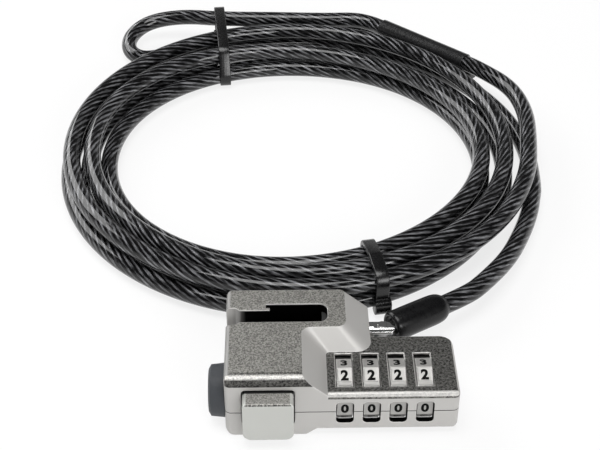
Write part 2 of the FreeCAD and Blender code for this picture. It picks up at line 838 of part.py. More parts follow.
def stretched(corners, radius, place):
    """A band pulled tight round circles of one radius, as a closed wire."""
    corners = [V(a, b, 0) for a, b in corners]
    n = len(corners)
    normals = []
    for i in range(n):
        step = corners[(i + 1) % n] - corners[i]
        normals.append(V(step.y, -step.x, 0).normalize())
    edges = []
    for i in range(n):
        before, after = normals[i - 1], normals[i]
        bulge = V(before + after).normalize()
        spots = [place(corners[i] + way * radius) for way in (before, bulge, after)]
        edges.append(Part.Arc(*spots).toShape())
        edges.append(Part.LineSegment(spots[2], place(corners[(i + 1) % n] + after * radius)).toShape())
    return Part.Wire(edges)


def spread(edges, step=0.8):
    """Points along the edges of a path, in order."""
    points = []
    for edge in edges:
        count = max(2, round(edge.Length / step))
        span = edge.LastParameter - edge.FirstParameter
        points += [edge.valueAt(edge.FirstParameter + span * k / count) for k in range(count)]
    return points


def cable_tie(place, routes):
    """A band round every strand that crosses it, with its head low on the outer side."""
    x, y, angle = place
    along = V(math.cos(math.radians(angle)), math.sin(math.radians(angle)), 0)
    across = V(-along.y, along.x, 0)
    base = V(x, y, 0)
    spots = []
    for points in routes:
        strand = []
        for p in points + [base + across * 999]:
            if abs((p - base).dot(across)) <= tie_width / 2 and abs((p - base).dot(along)) < 30:
                strand.append(((p - base).dot(along), p.z))
            elif strand:
                for end in (min(strand), max(strand)):
                    side = tie_slack if end == max(strand) else -tie_slack
                    spots.append((end[0] + side, end[1]))
                strand = []
    corners = hull([(round(a, 3), round(b, 3)) for a, b in spots])
    inner = cable_dia / 2 + tie_gap
    start = base - across * tie_width / 2

    def at(p):
        return start + along * p.x + Z * p.y

    outside = Part.Face(stretched(corners, inner + tie_thickness, at))
    inside = Part.Face(stretched(corners, inner, at))
    band = outside.cut(inside).extrude(across * tie_width)
    outer = max(a for a, b in corners if b < low_layer() + cable_dia / 4) + inner
    low = low_layer() - tie_head_height / 2
    head = Part.makeBox(tie_head_depth + tie_thickness, tie_head_width, tie_head_height,
                        V(outer + 0.02, -tie_head_width / 2, low))
    head = head.makeChamfer(0.6, [e for e in head.Edges if e.BoundBox.XMin > outer + 1])
    pawl = Part.makeBox(0.8, tie_head_width * 0.55, 1.0,
                        V(outer + tie_thickness + tie_head_depth - 0.6, -tie_head_width * 0.275,
                          low + tie_head_height * 0.4))
    head = head.cut(pawl)
    head.rotate(V(0, 0, 0), Z, angle)
    head.translate(base)
    return band.fuse(head).removeSplitter()


def shells():
    block = body_block()
    rooms = [slot_room(), knob_room(), tab_room(), leaf_room(), stem_room()]
    rooms += [wheel_room(i) for i in range(wheel_count)]
    rooms += screws(screw_gap)
    block = block.cut(rooms[0].multiFuse(rooms[1:]))
    top = block.common(box(-5, 70, -5, 40, parting_z, 40))
    bottom = block.common(box(-5, 70, -5, 40, -5, parting_z))
    return top.removeSplitter(), bottom.removeSplitter()


def build():
    top, bottom = shells()
    parts = {"top_shell": top, "bottom_shell": bottom, "shell_screws": shell_screws()}
    for i in range(wheel_count):
        parts["number_wheel_%d" % (i + 1)] = number_wheel(i)
        parts["code_ring_%d" % (i + 1)] = code_ring(i)
    parts["spindle"] = spindle()
    parts["spindle_pin"] = spindle_pin()
    parts["end_knob"] = end_knob()
    parts["front_tab"] = front_tab()
    parts["locking_bar"] = locking_bar()
    parts["tab_spring"] = tab_spring()
    parts["detent_spring"] = detent_spring()
    parts["slot_pad"] = slot_pad()
    parts["swivel_stem"] = swivel_stem()
    parts["pivot_rivet"] = pivot_rivet()
    parts["cable_terminal"] = cable_terminal()
    parts["cable_boot"] = cable_boot()
    parts["cable_lead"], lead = routed("cable_lead", lead_points())
    parts["cable_coil"], coil = cable_coil()
    parts["cable_eye"], eye = routed("cable_eye", eye_points(), before=sleeve_length,
                                     after=sleeve_length + tail_end)
    parts["crimp_sleeve"] = crimp_sleeve()
    wound = spread([arc.toShape() for arc, radius in coil_arcs()])
    eye_route = spread(rounded_route(eye_points())[0])
    parts["tie_front"] = cable_tie(front_tie, [wound])
    parts["tie_rear"] = cable_tie(rear_tie, [wound, eye_route])
    print("whole cable %.1f" % (lead + coil + eye))
    return parts


os.makedirs("parts", exist_ok=True)
shift = V((knob_out - body_length) / 2, (tab_out - body_depth) / 2, 0)
for name, shape in build().items():
    shape = shape.copy()
    shape.translate(shift)
    if not shape.isValid() or not shape.Solids:
        print("not a valid solid:", name)
    shape.exportStep("parts/%s.step" % name)
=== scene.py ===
# %% [markdown]
# A combination cable lock for a laptop: a die-cast head with four number dials, and about two and a half
# metres of jacketed wire rope, wound up and held by two ties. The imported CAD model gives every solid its
# place. This lesson dresses it: metals and plastics for the rigid pieces, and new meshes for the cable, the
# dials, the boot and the ties, which the plain solids only stand in for.

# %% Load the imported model
import math

import bmesh
import bpy
from mathutils import Matrix, Vector
from mathutils.geometry import convex_hull_2d


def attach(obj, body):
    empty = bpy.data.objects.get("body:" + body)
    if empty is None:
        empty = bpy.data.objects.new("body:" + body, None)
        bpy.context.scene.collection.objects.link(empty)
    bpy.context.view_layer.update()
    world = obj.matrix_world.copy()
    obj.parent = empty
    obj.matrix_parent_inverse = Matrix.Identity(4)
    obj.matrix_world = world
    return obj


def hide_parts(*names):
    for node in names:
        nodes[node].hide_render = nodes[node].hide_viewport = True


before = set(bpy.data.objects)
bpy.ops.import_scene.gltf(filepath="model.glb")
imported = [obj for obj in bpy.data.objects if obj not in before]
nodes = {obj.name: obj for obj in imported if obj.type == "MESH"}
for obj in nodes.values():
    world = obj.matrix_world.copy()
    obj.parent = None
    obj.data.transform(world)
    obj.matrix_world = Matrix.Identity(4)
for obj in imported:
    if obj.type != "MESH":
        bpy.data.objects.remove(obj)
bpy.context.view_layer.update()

# %% [markdown]
# The lock was drawn in millimetres from the left front bottom corner of its head, and then moved so that the
# origin is the middle of its footprint. The same small function brings those drawn places into the scene.
# Three pieces lie level at an angle of their own, so a second function gives a level direction.

# %% Drawn millimetres to scene metres
MM = 0.001
UP = Vector((0, 0, 1))
FULL_TURN = 2 * math.pi
head_middle = (26.65, 14.25)


def at(x, y, z):
    """A place in the drawing of the lock's head, in scene metres."""
    return Vector((x - head_middle[0], y - head_middle[1], z)) * MM


def heading(degrees):
    """A level direction, turned from the drawing's X axis."""
    turn = math.radians(degrees)
    return Vector((math.cos(turn), math.sin(turn), 0))


print("the drawing's corner", tuple(round(value, 5) for value in at(0, 0, 0)))

# %% [markdown]
# The photograph was taken with a long lens from in front and above. Its field and place were worked out from
# the edges of the head. A long lens keeps the head's sides nearly parallel.

# %% Camera


def into_scene(name, data):
    """An object that shows the data, put in the scene."""
    thing = bpy.data.objects.new(name, data)
    bpy.context.scene.collection.objects.link(thing)
    return thing


lens = bpy.data.cameras.new("long_lens")
lens.sensor_width = 36
lens.lens = 78
lens.clip_start = 0.02
camera = into_scene("camera", lens)
camera.location = (-0.01215, -0.23625, 0.2392)
camera.rotation_euler = (math.radians(52), 0, math.radians(-1))
bpy.context.scene.camera = camera
print("camera height", round(camera.location.z, 3))

# %% [markdown]
# The cable is one steel wire rope in a clear smoky jacket. It leaves the boot, drops to the table, winds
# inward for two turns, climbs, winds outward for three on top, runs through the crimp sleeve, turns round to
# make the eye and goes back into the sleeve. A curve through a few chosen points, smooth by its own nature,
# is how the real cable bends. The coil's points come from one formula: a radius for each turn, which swells
# and shrinks round the turn as the loose bundle does.

# %% The coil's line
coil_middle = (20.0, 115.7)
low_layer, layer_height = 3.65, 5.9
high_layer = low_layer + layer_height
coil_start, coil_end, coil_step = -15, 1785, 15
climb_start, climb_sweep = 885, 180
swell, swell_sweep = 1.5, 90
# Each quarter turn has a radius and a pitch for the lower layer, and the same two for the upper one.
coil_stations = [
    (57.4, 7.0, 57.6, 6.9),
    (53.7, 8.3, 48.9, 15.0),
    (61.6, 5.95, 61.0, 6.35),
    (64.8, 6.6, 60.9, 6.15),
]


def slope(back, ahead):
    """The slope at a station, from the steps before and after it, so that nothing overshoots."""
    return 2 * back * ahead / (back + ahead) if back * ahead > 0 else 0


def station(angle, column):
    """Smooth value round the coil, from four stations a quarter turn apart."""
    place = (angle - coil_start) / 90
    k = math.floor(place)
    u = place - k
    before, here, there, after = (coil_stations[(k + j) % 4][column] for j in (-1, 0, 1, 2))
    m0, m1 = slope(here - before, there - here), slope(there - here, after - there)
    return (here * (2 * u ** 3 - 3 * u ** 2 + 1) + m0 * (u ** 3 - 2 * u ** 2 + u)
            + there * (3 * u ** 2 - 2 * u ** 3) + m1 * (u ** 3 - u ** 2))


def coil_point(angle):
    """Control point of the coil: a little outside its line, because the curve cuts inside its points."""
    low = station(angle, 0) + station(angle, 1) * (2 - angle / 360)
    high = station(angle, 2) + station(angle, 3) * (angle / 360 - 3)
    u = min(1, max(0, (angle - climb_start) / climb_sweep))
    rise = u * u * (3 - 2 * u)
    radius = low + (high - low) * rise
    radius += swell * max(0, 1 - (angle - coil_start) / swell_sweep) ** 2
    radius /= math.cos(math.radians(coil_step / 2))
    a = math.radians(angle)
    return at(coil_middle[0] + radius * math.cos(a), coil_middle[1] + radius * math.sin(a),
              low_layer + layer_height * rise)


coil_points = [coil_point(angle) for angle in range(coil_start, coil_end + 1, coil_step)]
print("coil points", len(coil_points))

# %% [markdown]
# The rest of the line is given point by point. It starts just inside the boot and ends just past the sleeve,
# where the cut end shows. Inside the sleeve both runs are straight.

# %% The whole cable's line
sleeve_length, straight_end, tail_length = 36, 5, 37.5
tail_aside, tail_below = 3.8, 4.6
sleeve_along = heading(137.3)
sleeve_aside = sleeve_along.cross(UP)
sleeve_entry = at(77.647, 161.801, 9.0)
sleeve_away = sleeve_entry + sleeve_along * sleeve_length * MM
tail_back = sleeve_away + (sleeve_aside * tail_aside - UP * tail_below) * MM
cable_points = [at(55.15, 37.28, 7.7), at(64.25, 42.53, 7.7), at(69.6, 48.6, 6.8), at(78.6, 61.2, 5.2),
                at(85.0, 75.4, 3.95), at(88.35, 84.7, 3.65), at(89.9, 91.0, 3.65)]
cable_points += coil_points
cable_points += [at(92.0, 113.6, 9.5), at(93.7, 130.2, 9.3), at(91.0, 146.0, 9.1),
                 sleeve_entry - sleeve_along * 5.3 * MM, sleeve_entry, sleeve_away,
                 sleeve_away + sleeve_along * straight_end * MM]
cable_points += [at(41.5, 191.6, high_layer), at(31, 191.2, high_layer), at(12, 192.5, 9.45),
                 at(-6.5, 192.9, high_layer), at(-21, 197.3, 8.35), at(-33.5, 197.0, 6.25),
                 at(-39.8, 189.6, 4.25), at(-39.0, 179.4, 3.65), at(-32.0, 174.4, 3.65),
                 at(-20.0, 181.8, 3.65), at(-3.0, 189.0, 3.65), at(17.0, 192.7, 3.65),
                 at(33.0, 193.4, 3.65), at(44.5, 194.4, 4.05)]
cable_points += [tail_back + sleeve_along * straight_end * MM, tail_back,
                 tail_back - sleeve_along * tail_length * MM]


def smooth_line(name, points, resolution):
    """Places along a smooth curve that is pulled by the points."""
    curve = bpy.data.curves.new(name, "CURVE")
    curve.dimensions = "3D"
    curve.resolution_u = resolution
    spline = curve.splines.new("NURBS")
    spline.points.add(len(points) - 1)
    for point, place in zip(spline.points, points):
        point.co = (*place, 1)
    spline.order_u = 3
    spline.use_endpoint_u = True
    guide = bpy.data.objects.new(name, curve)
    line = bpy.data.meshes.new_from_object(guide)
    places = [v.co.copy() for v in line.vertices]
    bpy.data.objects.remove(guide)
    bpy.data.curves.remove(curve)
    bpy.data.meshes.remove(line)
    return places


cable_line = smooth_line("cable_guide", cable_points, 12)
cable_length = sum((b - a).length for a, b in zip(cable_line, cable_line[1:]))
print("cable length", round(cable_length, 3), "places", len(cable_line))

# %% [markdown]
# The jacket is a tube swept along that line. Each ring is kept level, so the strands inside, which a material
# draws from the mesh's own coordinates, wind evenly and never slip. The first coordinate is the distance
# along the cable in metres and the second goes once round it. The ends are closed with a small rounded edge.

# %% Sweep a tube along a line
cable_radius = 5.3 / 2 * MM
cable_sides = 24
end_rounding = 0.12


def join_rings(mesh, one, two):
    """Faces between two closed rows of as many points."""
    pairs = list(zip(one, two))
    return [mesh.faces.new((a, c, d, b)) for (a, b), (c, d) in zip(pairs, pairs[1:] + pairs[:1])]


def finished(name, mesh):
    """The drawn mesh as an object in the scene."""
    data = bpy.data.meshes.new(name)
    mesh.to_mesh(data)
    mesh.free()
    return into_scene(name, data)


def ring_around(mesh, centre, along, radius, sides):
    """Points round a centre, at right angles to a direction, with the first one level with it."""
    across = along.cross(UP).normalized()
    up = across.cross(along)
    turns = [FULL_TURN * k / sides for k in range(sides)]
    return [mesh.verts.new(centre + (across * math.cos(turn) + up * math.sin(turn)) * radius)
            for turn in turns]


def close_end(mesh, ring, inward):
    """A flat cap with a small rounded edge."""
    middle = sum((v.co for v in ring), Vector()) / len(ring)
    raised = inward * cable_radius * end_rounding
    inner = [mesh.verts.new(middle + (v.co - middle) * (1 - end_rounding) - raised) for v in ring]
    join_rings(mesh, ring, inner)
    centre = mesh.verts.new(middle - raised)
    for a, b in zip(inner, inner[1:] + inner[:1]):
        mesh.faces.new((a, b, centre))


def swept_tube(name, line):
    """The jacket along a line, with the distance along it and the way round it in its chart."""
    mesh = bmesh.new()
    chart = mesh.loops.layers.uv.new("along_and_round")
    rings, places = [], []
    travelled = 0.0
    for i, here in enumerate(line):
        before, after = line[max(i - 1, 0)], line[min(i + 1, len(line) - 1)]
        rings.append(ring_around(mesh, here, (after - before).normalized(), cable_radius, cable_sides))
        travelled += (here - line[i - 1]).length if i else 0
        places.append(travelled)
    for i in range(len(rings) - 1):
        for k, face in enumerate(join_rings(mesh, rings[i], rings[i + 1])):
            face.smooth = True
            spots = ((places[i], k), (places[i], k + 1), (places[i + 1], k + 1), (places[i + 1], k))
            for loop, (u, v) in zip(face.loops, spots):
                loop[chart].uv = (u, v / cable_sides)
    close_end(mesh, rings[0], (line[1] - line[0]).normalized())
    close_end(mesh, rings[-1], (line[-2] - line[-1]).normalized())
    bmesh.ops.recalc_face_normals(mesh, faces=mesh.faces)
    return finished(name, mesh)


cable = swept_tube("cable", cable_line)
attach(cable, "cable")
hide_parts("cable_lead", "cable_coil", "cable_eye")
print("cable faces", len(cable.data.polygons))

# %% [markdown]
# Materials are built from small parts. One helper adds a node, sets or links its inputs by name, and hands it
# back, so that a recipe reads in the order in which the effect is made. Short names for sums and products
# keep the recipes short too.

# %% Helpers for node recipes


def fill(tree, node, values):
    """Link a node's inputs to sockets, or set them to plain values."""
    for name, value in values.items():
        if isinstance(value, bpy.types.NodeSocket):
            tree.links.new(value, node.inputs[name])
        else:
            node.inputs[name].default_value = value


def put(tree, kind, values=None, **settings):
    """A new node with its settings and inputs."""
    node = tree.nodes.new(kind)
    for name, value in settings.items():
        setattr(node, name, value)
    fill(tree, node, values or {})
    return node


def maths(tree, operation, a, b=0.0, clamp=False):
    return put(tree, "ShaderNodeMath", {0: a, 1: b}, operation=operation, use_clamp=clamp).outputs[0]


def plus(tree, a, b, clamp=False):
    return maths(tree, "ADD", a, b, clamp)


def minus(tree, a, b, clamp=False):
    return maths(tree, "SUBTRACT", a, b, clamp)


def times(tree, a, b):
    return maths(tree, "MULTIPLY", a, b)


def larger(tree, a, b):
    return maths(tree, "MAXIMUM", a, b)


def remap(tree, value, low, high, to_low=0.0, to_high=1.0):
    """The stretch of values from low to high, spread between two others and held there."""
    return put(tree, "ShaderNodeMapRange", {"Value": value, "From Min": low, "From Max": high,
                                            "To Min": to_low, "To Max": to_high}).outputs[0]


def rgba(colour):
    """A plain colour with full alpha, and a socket as it is."""
    return colour if isinstance(colour, bpy.types.NodeSocket) else (*colour, 1)


def blend_colour(tree, share, a, b):
    return put(tree, "ShaderNodeMix", {0: share, 6: rgba(a), 7: rgba(b)}, data_type="RGBA").outputs[2]


def emboss(tree, height, depth, normal, strength=1.0):
    """A normal tilted by a height, on top of another normal."""
    return put(tree, "ShaderNodeBump", {"Strength": strength, "Distance": depth, "Height": height,
                                        "Normal": normal}).outputs[0]


def surface(tree):
    """Where a point lies and which way it faces, each as X, Y and Z."""
    place = put(tree, "ShaderNodeTexCoord").outputs
    return [put(tree, "ShaderNodeSeparateXYZ", {0: place[name]}).outputs for name in ("Object", "Normal")]


print("full colour", rgba((0.5, 0.5, 0.5)))

# %% [markdown]
# A shared effect is a node group, and a finish is a material. These helpers start one or the other, place a
# group in a material with its own values, and give a material to pieces by their names.

# %% Helpers for groups and materials


def new_group(name, inputs, **outputs):
    """An empty node group with its inputs' plain numbers and its outputs' kinds."""
    tree = bpy.data.node_groups.new(name, "ShaderNodeTree")
    for title, default in inputs.items():
        socket = tree.interface.new_socket(title, in_out="INPUT", socket_type="NodeSocketFloat")
        socket.default_value = default
    for title, kind in outputs.items():
        tree.interface.new_socket(title, in_out="OUTPUT", socket_type="NodeSocket" + kind)
    return tree, tree.nodes.new("NodeGroupInput").outputs, tree.nodes.new("NodeGroupOutput")


def use_group(tree, group, **values):
    return put(tree, "ShaderNodeGroup", values, node_tree=group).outputs


def new_material(name):
    """A material with its tree and its Principled shader."""
    material = bpy.data.materials.new(name)
    material.use_nodes = True
    return material, material.node_tree, material.node_tree.nodes["Principled BSDF"]


def dress(material, *names):
    """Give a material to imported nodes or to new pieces."""
    for name in names:
        piece = nodes[name] if name in nodes else bpy.data.objects[name]
        piece.data.materials.clear()
        piece.data.materials.append(material)
    print(material.name, "on", len(names))


# %% [markdown]
# Cast and moulded surfaces share three effects. Grain is the fine relief left by blasting or by a textured
# mould, a speckle of light and dark with a height to match. Edge light finds the places where two faces meet:
# it bends the normal round the corner, which catches a thin line of light as the real small radius does, and
# gives a mask for a brighter colour there, partly rubbed wear and partly a painted highlight. Handling is a
# slow, faint unevenness from wear.

# %% Shared effects as node groups
coarse_share, fine_share, finer = 0.7, 0.3, 2.7
speckle_contrast = 5.0
grain_group, grain_in, grain_out = new_group("grain", {"Size": 0.0004}, Height="Float", Speckle="Float")
spot = put(grain_group, "ShaderNodeTexCoord").outputs["Object"]
scale = maths(grain_group, "DIVIDE", 1.0, grain_in["Size"])
coarse = put(grain_group, "ShaderNodeTexNoise",
             {"Vector": spot, "Scale": scale, "Detail": 3.0, "Roughness": 0.65}).outputs[0]
fine = put(grain_group, "ShaderNodeTexNoise",
           {"Vector": spot, "Scale": times(grain_group, scale, finer), "Detail": 2.0}).outputs[0]
both = plus(grain_group, times(grain_group, coarse, coarse_share), times(grain_group, fine, fine_share))
sharp = times(grain_group, minus(grain_group, both, 0.5), speckle_contrast)
fill(grain_group, grain_out, {"Height": both, "Speckle": plus(grain_group, sharp, 0.5, clamp=True)})

edge_group, edge_in, edge_out = new_group("edge_light", {"Radius": 0.0003}, Normal="Vector", Edge="Float")
bevel = put(edge_group, "ShaderNodeBevel", {"Radius": edge_in["Radius"]}, samples=6).outputs[0]
flat = put(edge_group, "ShaderNodeNewGeometry").outputs["Normal"]
agreement = put(edge_group, "ShaderNodeVectorMath", {0: bevel, 1: flat}, operation="DOT_PRODUCT")
edge = remap(edge_group, agreement.outputs["Value"], 0.995, 0.86)
fill(edge_group, edge_out, {"Normal": bevel, "Edge": edge})

handling_group, handling_in, handling_out = new_group("handling", {"Size": 0.008, "Amount": 0.1},
                                                      Value="Float")
spot = put(handling_group, "ShaderNodeTexCoord").outputs["Object"]
scale = maths(handling_group, "DIVIDE", 1.0, handling_in["Size"])
cloud = put(handling_group, "ShaderNodeTexNoise",
            {"Vector": spot, "Scale": scale, "Detail": 4.0, "Roughness": 0.6}).outputs[0]
uneven = times(handling_group, minus(handling_group, cloud, 0.5), handling_in["Amount"])
fill(handling_group, handling_out, {"Value": uneven})
print("groups", len(bpy.data.node_groups))

# %% [markdown]
# The body is cast zinc under a satin nickel coat. Its top, its deck and the rounded strips in front of them
# are blasted to a coarse, sparkling grain. The slope between them and all the upright faces are smooth. One
# material does both, because they are on one casting, so it needs to know where on the casting it is. Boxes
# in the drawing's millimetres say so, with soft borders. The rooms inside the casting are painted nearly
# black, as painted shade for the dark behind every gap of the real lock, and so is the slot, more and more
# into its mouth. The parting line is a dark seam.

# %% Places on the casting
block_strip = ((-1, 30), (-1, 2.3), (16.35, 30))
deck_strip = ((25.2, 90), (-1, 1.4), (11.95, 13.4))
side_strip = ((-1, 1.3), (2.0, 40), (17.3, 30))
strip_border = ((0.6, 19.4), (2.15, 2.9), (18.3, 30))
slot_throat = ((-1, 12), (19.5, 26.5), (2.0, 18.3))
throat_fade = (1.3, 5.0)
deck_heights = (12.0, 13.6)
parting_line = (7.58, 7.82)
# Boxes of the rooms inside the casting, which get painted shade.
rooms = [
    ((5.2, 25.9), (20.7, 27.7), (2.0, 18.25)),
    ((27.0, 51.5), (1.6, 15.0), (0.5, 12.95)),
    ((27.0, 51.5), (0.08, 2.0), (3.6, 11.2)),
    ((4.0, 17.2), (0.08, 19.5), (1.4, 16.0)),
    ((0.25, 18.5), (0.9, 15.1), (1.2, 14.8)),
    ((29.0, 36.4), (25.0, 32.4), (4.2, 11.2)),
]
room_border = 0.06


def between(tree, value, low, high, soft):
    """1 where value lies between low and high, with soft borders."""
    above = remap(tree, value, low - soft, low + soft)
    return times(tree, above, remap(tree, value, high + soft, high - soft))


def in_room(tree, spot, across, deep, tall):
    """1 inside a box given in the drawing's millimetres."""
    low, high = at(across[0], deep[0], tall[0]), at(across[1], deep[1], tall[1])
    inside = times(tree, between(tree, spot["X"], low.x, high.x, room_border * MM),
                   between(tree, spot["Y"], low.y, high.y, room_border * MM))
    return times(tree, inside, between(tree, spot["Z"], low.z, high.z, room_border * MM))


def dark_places(tree, spot):
    """1 in the parting line, a dark seam, and as painted shade in the rooms and more and more into the slot's
    mouth.
    """
    dark = between(tree, spot["Z"], parting_line[0] * MM, parting_line[1] * MM, 0.03 * MM)
    for room in rooms:
        dark = larger(tree, dark, in_room(tree, spot, *room))
    deeper = remap(tree, spot["X"], at(throat_fade[0], 0, 0).x, at(throat_fade[1], 0, 0).x)
    return larger(tree, dark, times(tree, in_room(tree, spot, *slot_throat), deeper))


print("dark rooms", len(rooms))

# %% [markdown]
# Blasted metal sparkles: some grains face the light and others turn away. Two speckles carry that, a finer
# one for the block and a coarser one for the darker deck. The rounded strips get a painted highlight along
# their tops and painted shade below, nearly black, for the dark room in front of the lock that they mirror.
# A thin ragged border marks where the block's strip begins.

# %% Colours of the blasted metal
strip_turn, deck_turn = (18.18, 17.9), (12.62, 12.35)


def rounded_strip(tree, turned, grain, pits, above, below):
    """A speckle of two bright tones above, a painted highlight, and of two dark ones, painted shade, where
    the strip has turned down.
    """
    return blend_colour(tree, turned, blend_colour(tree, grain, *above), blend_colour(tree, pits, *below))


def blasted_colour(tree, spot, strip, deck_edge, grain, pits):
    """The blasted metal's colour, with the strips' painted highlight and shade, and a mask of where its
    strips have turned down.
    """
    block = blend_colour(tree, grain, (0.125, 0.122, 0.115), (0.5, 0.49, 0.455))
    deck = blend_colour(tree, pits, (0.02, 0.0195, 0.018), (0.22, 0.216, 0.204))
    on_deck = between(tree, spot["Z"], deck_heights[0] * MM, deck_heights[1] * MM, 0.1 * MM)
    colour = blend_colour(tree, on_deck, block, deck)
    under = remap(tree, spot["Z"], strip_turn[0] * MM, strip_turn[1] * MM)
    # The block's strip: painted highlight on top, painted shade below.
    colour = blend_colour(tree, strip, colour, rounded_strip(
        tree, under, grain, pits, ((0.24, 0.235, 0.23), (0.54, 0.53, 0.5)),
        ((0.004, 0.004, 0.004), (0.11, 0.107, 0.1))))
    lip = remap(tree, spot["Z"], deck_turn[0] * MM, deck_turn[1] * MM)
    # The deck's strip: painted highlight on top, painted shade below.
    colour = blend_colour(tree, deck_edge, colour, rounded_strip(
        tree, lip, grain, pits, ((0.34, 0.335, 0.325), (0.5, 0.49, 0.47)),
        ((0.012, 0.012, 0.01), (0.24, 0.235, 0.22))))
    border = times(tree, in_room(tree, spot, *strip_border), minus(tree, 1.0, pits))
    colour = blend_colour(tree, border, colour, (0.015, 0.015, 0.014))
    return colour, larger(tree, times(tree, under, strip), times(tree, lip, deck_edge))


print("the strips turn down at", strip_turn[0], deck_turn[0])

# %% [markdown]
# The whole casting takes either finish from one mask, the blasted area: level faces and the two strips,
# apart from the block's upper left edge, which is rubbed smooth and darkened with painted shade. Edges get a
# brighter colour, partly rubbed wear and partly a painted highlight, everywhere but on the strips' painted
# dark sides.

# %% Cast zinc of the body
blast_size, pit_size, silk_size = 0.44 * MM, 0.6 * MM, 0.11 * MM
smooth_edge, blasted_edge = 0.5 * MM, 0.28 * MM
silk_depth, grain_depth = 0.004 * MM, 0.07 * MM


def cast_zinc():
    material, tree, shader = new_material("cast_zinc")
    spot, facing = surface(tree)
    level = between(tree, facing["Z"], 0.955, 1.2, 0.01)
    strip = times(tree, in_room(tree, spot, *block_strip), between(tree, facing["X"], -0.9, 0.3, 0.03))
    deck_edge = in_room(tree, spot, *deck_strip)
    side_face = between(tree, facing["X"], -0.97, -0.08, 0.03)
    side_edge = times(tree, in_room(tree, spot, *side_strip), side_face)
    rough_area = larger(tree, larger(tree, level, strip), deck_edge)
    rough_area = times(tree, rough_area, minus(tree, 1.0, side_edge))
    grain = use_group(tree, grain_group, Size=blast_size)
    silk = use_group(tree, grain_group, Size=silk_size)
    pits = use_group(tree, grain_group, Size=pit_size)["Speckle"]
    worn = use_group(tree, handling_group, Size=9 * MM, Amount=0.3)["Value"]
    edge = use_group(tree, edge_group, Radius=remap(tree, rough_area, 0, 1, smooth_edge, blasted_edge))
    blasted, shaded = blasted_colour(tree, spot, strip, deck_edge, grain["Speckle"], pits)
    smooth = blend_colour(tree, plus(tree, worn, 0.5), (0.455, 0.445, 0.43), (0.515, 0.505, 0.49))
    # Painted shade on the block's smooth upper left edge.
    smooth = blend_colour(tree, side_edge, smooth, (0.27, 0.267, 0.26))
    colour = blend_colour(tree, rough_area, smooth, blasted)
    # Brighter edges, rubbed wear and a painted highlight, kept off the painted shade.
    kept = minus(tree, 0.8, larger(tree, side_edge, shaded), clamp=True)
    colour = blend_colour(tree, times(tree, edge["Edge"], kept), colour, (0.72, 0.71, 0.69))
    # Painted shade in the rooms and the slot, and the dark parting seam.
    dark = dark_places(tree, spot)
    height = blend_colour(tree, rough_area, silk["Height"], grain["Height"])
    depth = remap(tree, rough_area, 0, 1, silk_depth, grain_depth)
    fill(tree, shader, {
        "Base Color": blend_colour(tree, dark, colour, (0.006, 0.006, 0.006)),
        "Roughness": remap(tree, rough_area, 0, 1, 0.52, 0.4),
        "Metallic": larger(tree, remap(tree, rough_area, 0, 1, 0.45, 0.7), dark),
        "Normal": emboss(tree, height, depth, edge["Normal"])})
    return material


dress(cast_zinc(), "top_shell", "bottom_shell")

# %% [markdown]
# The push tab is a casting of its own. Its face is smooth and bare, its upper side has the same blasted grain
# as the block above it, and its corners are brighter, partly rubbed wear and partly a painted highlight.
# Along the sloped edge between the two runs a dark, ragged line. Where the tab goes into the body it gets a
# painted shadow.

# %% Push tab
tab_top = ((5.3, 15.9), (-9, 4), (14.0, 30))
tab_rim = ((5.0, 16.2), (-9, 4), (12.5, 30))
tab_painted_shadow = ((-9, 90), (-0.4, 90), (-9, 90))


def tab_metal():
    material, tree, shader = new_material("tab_metal")
    spot, facing = surface(tree)
    top = times(tree, between(tree, facing["Z"], 0.4, 1.2, 0.02), in_room(tree, spot, *tab_top))
    rim = times(tree, between(tree, facing["Y"], -0.9, -0.48, 0.04), in_room(tree, spot, *tab_rim))
    grain = use_group(tree, grain_group, Size=0.36 * MM)
    silk = use_group(tree, grain_group, Size=silk_size)
    edge = use_group(tree, edge_group, Radius=0.4 * MM)
    blasted = blend_colour(tree, grain["Speckle"], (0.13, 0.127, 0.12), (0.46, 0.45, 0.42))
    colour = blend_colour(tree, top, (0.5, 0.505, 0.48), blasted)
    # Brighter edges: rubbed wear and a painted highlight.
    colour = blend_colour(tree, times(tree, edge["Edge"], 0.7), colour, (0.74, 0.74, 0.71))
    ragged = times(tree, rim, minus(tree, 1.2, grain["Speckle"], clamp=True))
    colour = blend_colour(tree, ragged, colour, (0.01, 0.01, 0.01))
    # Painted shadow where the tab goes into the body.
    colour = blend_colour(tree, in_room(tree, spot, *tab_painted_shadow), colour, (0.03, 0.03, 0.03))
    height = blend_colour(tree, top, silk["Height"], grain["Height"])
    depth = remap(tree, top, 0, 1, silk_depth, grain_depth)
    fill(tree, shader, {"Base Color": colour, "Metallic": 0.45, "Roughness": 0.45,
                        "Normal": emboss(tree, height, depth, edge["Normal"])})
    return material


dress(tab_metal(), "front_tab")

# %% [markdown]
# The cable's jacket is clear and smoky, and the steel rope shows through it. A real clear tube over
# strands of wires would be slow to light and hard to see at this size, so one surface carries both: the
# strands are drawn and embossed in the base of the material, and a clear coat lies over them and
# takes the sharp reflections. The strands wind to the right, one full turn in about 42 mm, and each is
# itself made of fine wires. Streaks that follow the strands break up the light, as the real wires do.

